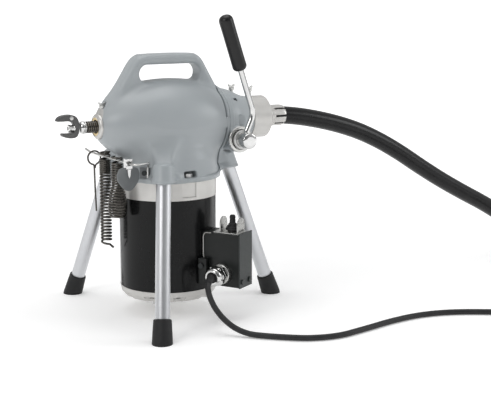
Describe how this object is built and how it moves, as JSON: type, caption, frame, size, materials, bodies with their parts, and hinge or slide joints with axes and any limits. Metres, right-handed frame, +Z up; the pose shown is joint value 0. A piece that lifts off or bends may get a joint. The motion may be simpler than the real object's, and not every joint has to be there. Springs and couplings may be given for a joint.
{
  "type": "drain snake machine",
  "caption": "Hollow-spindle drain cleaner on tube legs: vertical motor, egg-shaped gear housing with carrying handle, pull-down clutch lever, guide hose, cutter and hung tools.",
  "frame": {"origin": "centre of the machine's bounding box at floor level, measured without the hose and the mains cord", "axes": "+Z up; the cable axis runs along X at 256 mm, cutter end at -X and hose end at +X; the clutch lever is on the -Y side"},
  "size_m": [1.0995, 0.472, 0.3984],
  "materials": {
    "housing_paint": "satin light grey enamel over a die casting",
    "cast_aluminium": "machined and tumbled die casting",
    "leg_aluminium": "satin drawn tube",
    "steel": "ground and turned steel",
    "lamination_steel": "oiled stacked laminations",
    "spring_steel": "oil-tempered dark spring wire",
    "cutter_steel": "blackened hardened steel",
    "spade_steel": "dull grey heat-treated plate",
    "chrome": "bright plating",
    "zinc_plate": "bright zinc-plated sheet and wire",
    "brass": "turned brass",
    "winding_copper": "varnished copper windings",
    "shell_black": "gloss black enamel",
    "box_black": "satin black enamel",
    "cover_grey": "satin dark grey enamel",
    "rubber": "matt moulded rubber",
    "hose_black": "smooth satin extruded rubber",
    "cord_rubber": "matt rubber cord sheath",
    "grip_black": "satin dipped vinyl",
    "switch_plastic": "moulded black plastic"
  },
  "bodies": {
    "machine": {"main_housing": "housing_paint", "rear_housing": "housing_paint", "rear_cap": "cast_aluminium", "nose_collar": "cast_aluminium", "nose_bushing": "brass", "hose_collet": "cast_aluminium", "rear_housing_screws": "steel", "motor_top_bell": "cast_aluminium", "motor_shell": "shell_black", "motor_bottom_bell": "cast_aluminium", "stator_core": "lamination_steel", "stator_windings": "winding_copper", "motor_through_bolts": "steel", "ball_bearings": "steel", "motor_mounting_bolts": "steel", "legs": "leg_aluminium", "feet": "rubber", "switch_box": "box_black", "switch_box_cover": "cover_grey", "panel_screws": "cover_grey", "switch_guard": "zinc_plate", "switch_body": "switch_plastic", "cable_gland": "chrome", "gland_nut": "chrome", "gland_grommet": "rubber", "hanger_rod": "zinc_plate", "hanger_plate": "spade_steel", "release_spring": "spring_steel", "guide_hose": "hose_black", "guide_hose_coil": "hose_black", "power_cord": "cord_rubber", "power_cord_coil": "cord_rubber", "power_plug": "rubber"},
    "motor_rotor": {"rotor_shaft": "steel", "rotor_core": "lamination_steel", "cooling_fan": "switch_plastic", "pinion": "steel"},
    "spindle": {"drive_spindle": "steel", "drive_gear": "steel"},
    "jaw_1": {"clutch_jaw_1": "steel"},
    "jaw_2": {"clutch_jaw_2": "steel"},
    "jaw_3": {"clutch_jaw_3": "steel"},
    "cable": {"cable_section": "spring_steel", "cable_coupling": "chrome", "c_cutter": "cutter_steel"},
    "thrust_collar": {"thrust_sleeve": "steel", "thrust_bearing": "steel"},
    "clutch_lever": {"lever_shaft": "steel", "lever_hub": "chrome", "lever_rod": "chrome", "lever_grip": "grip_black"},
    "toggle": {"toggle_lever": "chrome", "toggle_boot": "rubber"},
    "nose_screw": {"nose_thumb_screw": "zinc_plate"},
    "housing_screw": {"housing_thumb_screw": "zinc_plate"},
    "cap_screw": {"cap_thumb_screw": "zinc_plate"},
    "hung_key": {"pin_key": "spring_steel"},
    "hung_straight_auger": {"straight_auger": "spring_steel"},
    "hung_bulb_auger": {"bulb_auger": "spring_steel"},
    "hung_spade": {"spade_cutter": "spade_steel"}
  },
  "joints": [
    {"name": "motor_spin", "type": "hinge", "parent": "machine", "child": "motor_rotor", "pos_m": [-0.012, 0, 0.1], "axis": [0, 0, 1], "continuous": true},
    {"name": "spindle_spin", "type": "hinge", "parent": "machine", "child": "spindle", "pos_m": [-0.012, 0, 0.256], "axis": [1, 0, 0], "continuous": true},
    {"name": "jaw_1_slide", "type": "slide", "parent": "spindle", "child": "jaw_1", "axis": [-0.9659, 0, -0.2588], "range_m": [0, 0.00416]},
    {"name": "jaw_2_slide", "type": "slide", "parent": "spindle", "child": "jaw_2", "axis": [-0.9659, 0.2241, 0.1294], "range_m": [0, 0.00416]},
    {"name": "jaw_3_slide", "type": "slide", "parent": "spindle", "child": "jaw_3", "axis": [-0.9659, -0.2241, 0.1294], "range_m": [0, 0.00416]},
    {"name": "cable_feed", "type": "slide", "parent": "spindle", "child": "cable", "axis": [-1, 0, 0], "range_m": [0, 0.1]},
    {"name": "clutch_lever_pull", "type": "hinge", "parent": "machine", "child": "clutch_lever", "pos_m": [0.076, 0, 0.232], "axis": [0, 1, 0], "range_deg": [0, 60], "stiffness_Nm_per_rad": 0.8, "springref_deg": -8.59},
    {"name": "thrust_collar_slide", "type": "slide", "parent": "machine", "child": "thrust_collar", "axis": [-1, 0, 0], "range_m": [0, 0.00402]},
    {"name": "switch_toggle", "type": "hinge", "parent": "machine", "child": "toggle", "pos_m": [0.0393, -0.08585, 0.1176], "axis": [0.5, -0.866, 0], "range_deg": [-12, 12]},
    {"name": "nose_screw_turn", "type": "hinge", "parent": "machine", "child": "nose_screw", "pos_m": [-0.105, 0, 0.2795], "axis": [0, 0, 1], "range_deg": [0, 360]},
    {"name": "housing_screw_turn", "type": "hinge", "parent": "machine", "child": "housing_screw", "pos_m": [0.0877, 0, 0.2946], "axis": [0, 0, 1], "range_deg": [0, 360]},
    {"name": "cap_screw_turn", "type": "hinge", "parent": "machine", "child": "cap_screw", "pos_m": [0.1163, 0, 0.2913], "axis": [0, 0, 1], "range_deg": [0, 360]},
    {"name": "key_swing", "type": "hinge", "parent": "machine", "child": "hung_key", "pos_m": [-0.093, 0.057, 0.213], "axis": [0, 1, 0], "range_deg": [-5, 35]},
    {"name": "straight_auger_swing", "type": "hinge", "parent": "machine", "child": "hung_straight_auger", "pos_m": [-0.093, 0.022, 0.213], "axis": [0, 1, 0], "range_deg": [-3, 35]},
    {"name": "bulb_auger_swing", "type": "hinge", "parent": "machine", "child": "hung_bulb_auger", "pos_m": [-0.093, -0.016, 0.213], "axis": [0, 1, 0], "range_deg": [0, 35]},
    {"name": "spade_swing", "type": "hinge", "parent": "machine", "child": "hung_spade", "pos_m": [-0.093, -0.05, 0.213], "axis": [0, 1, 0], "range_deg": [-5, 35]}
  ],
  "couplings": [
    {"joint": "spindle_spin", "follows": "motor_spin", "ratio": 0.23529},
    {"joint": "jaw_1_slide", "follows": "clutch_lever_pull", "m_per_rad": 0.0039545},
    {"joint": "jaw_2_slide", "follows": "clutch_lever_pull", "m_per_rad": 0.0039545},
    {"joint": "jaw_3_slide", "follows": "clutch_lever_pull", "m_per_rad": 0.0039545},
    {"joint": "thrust_collar_slide", "follows": "clutch_lever_pull", "m_per_rad": 0.0038197}
  ]
}
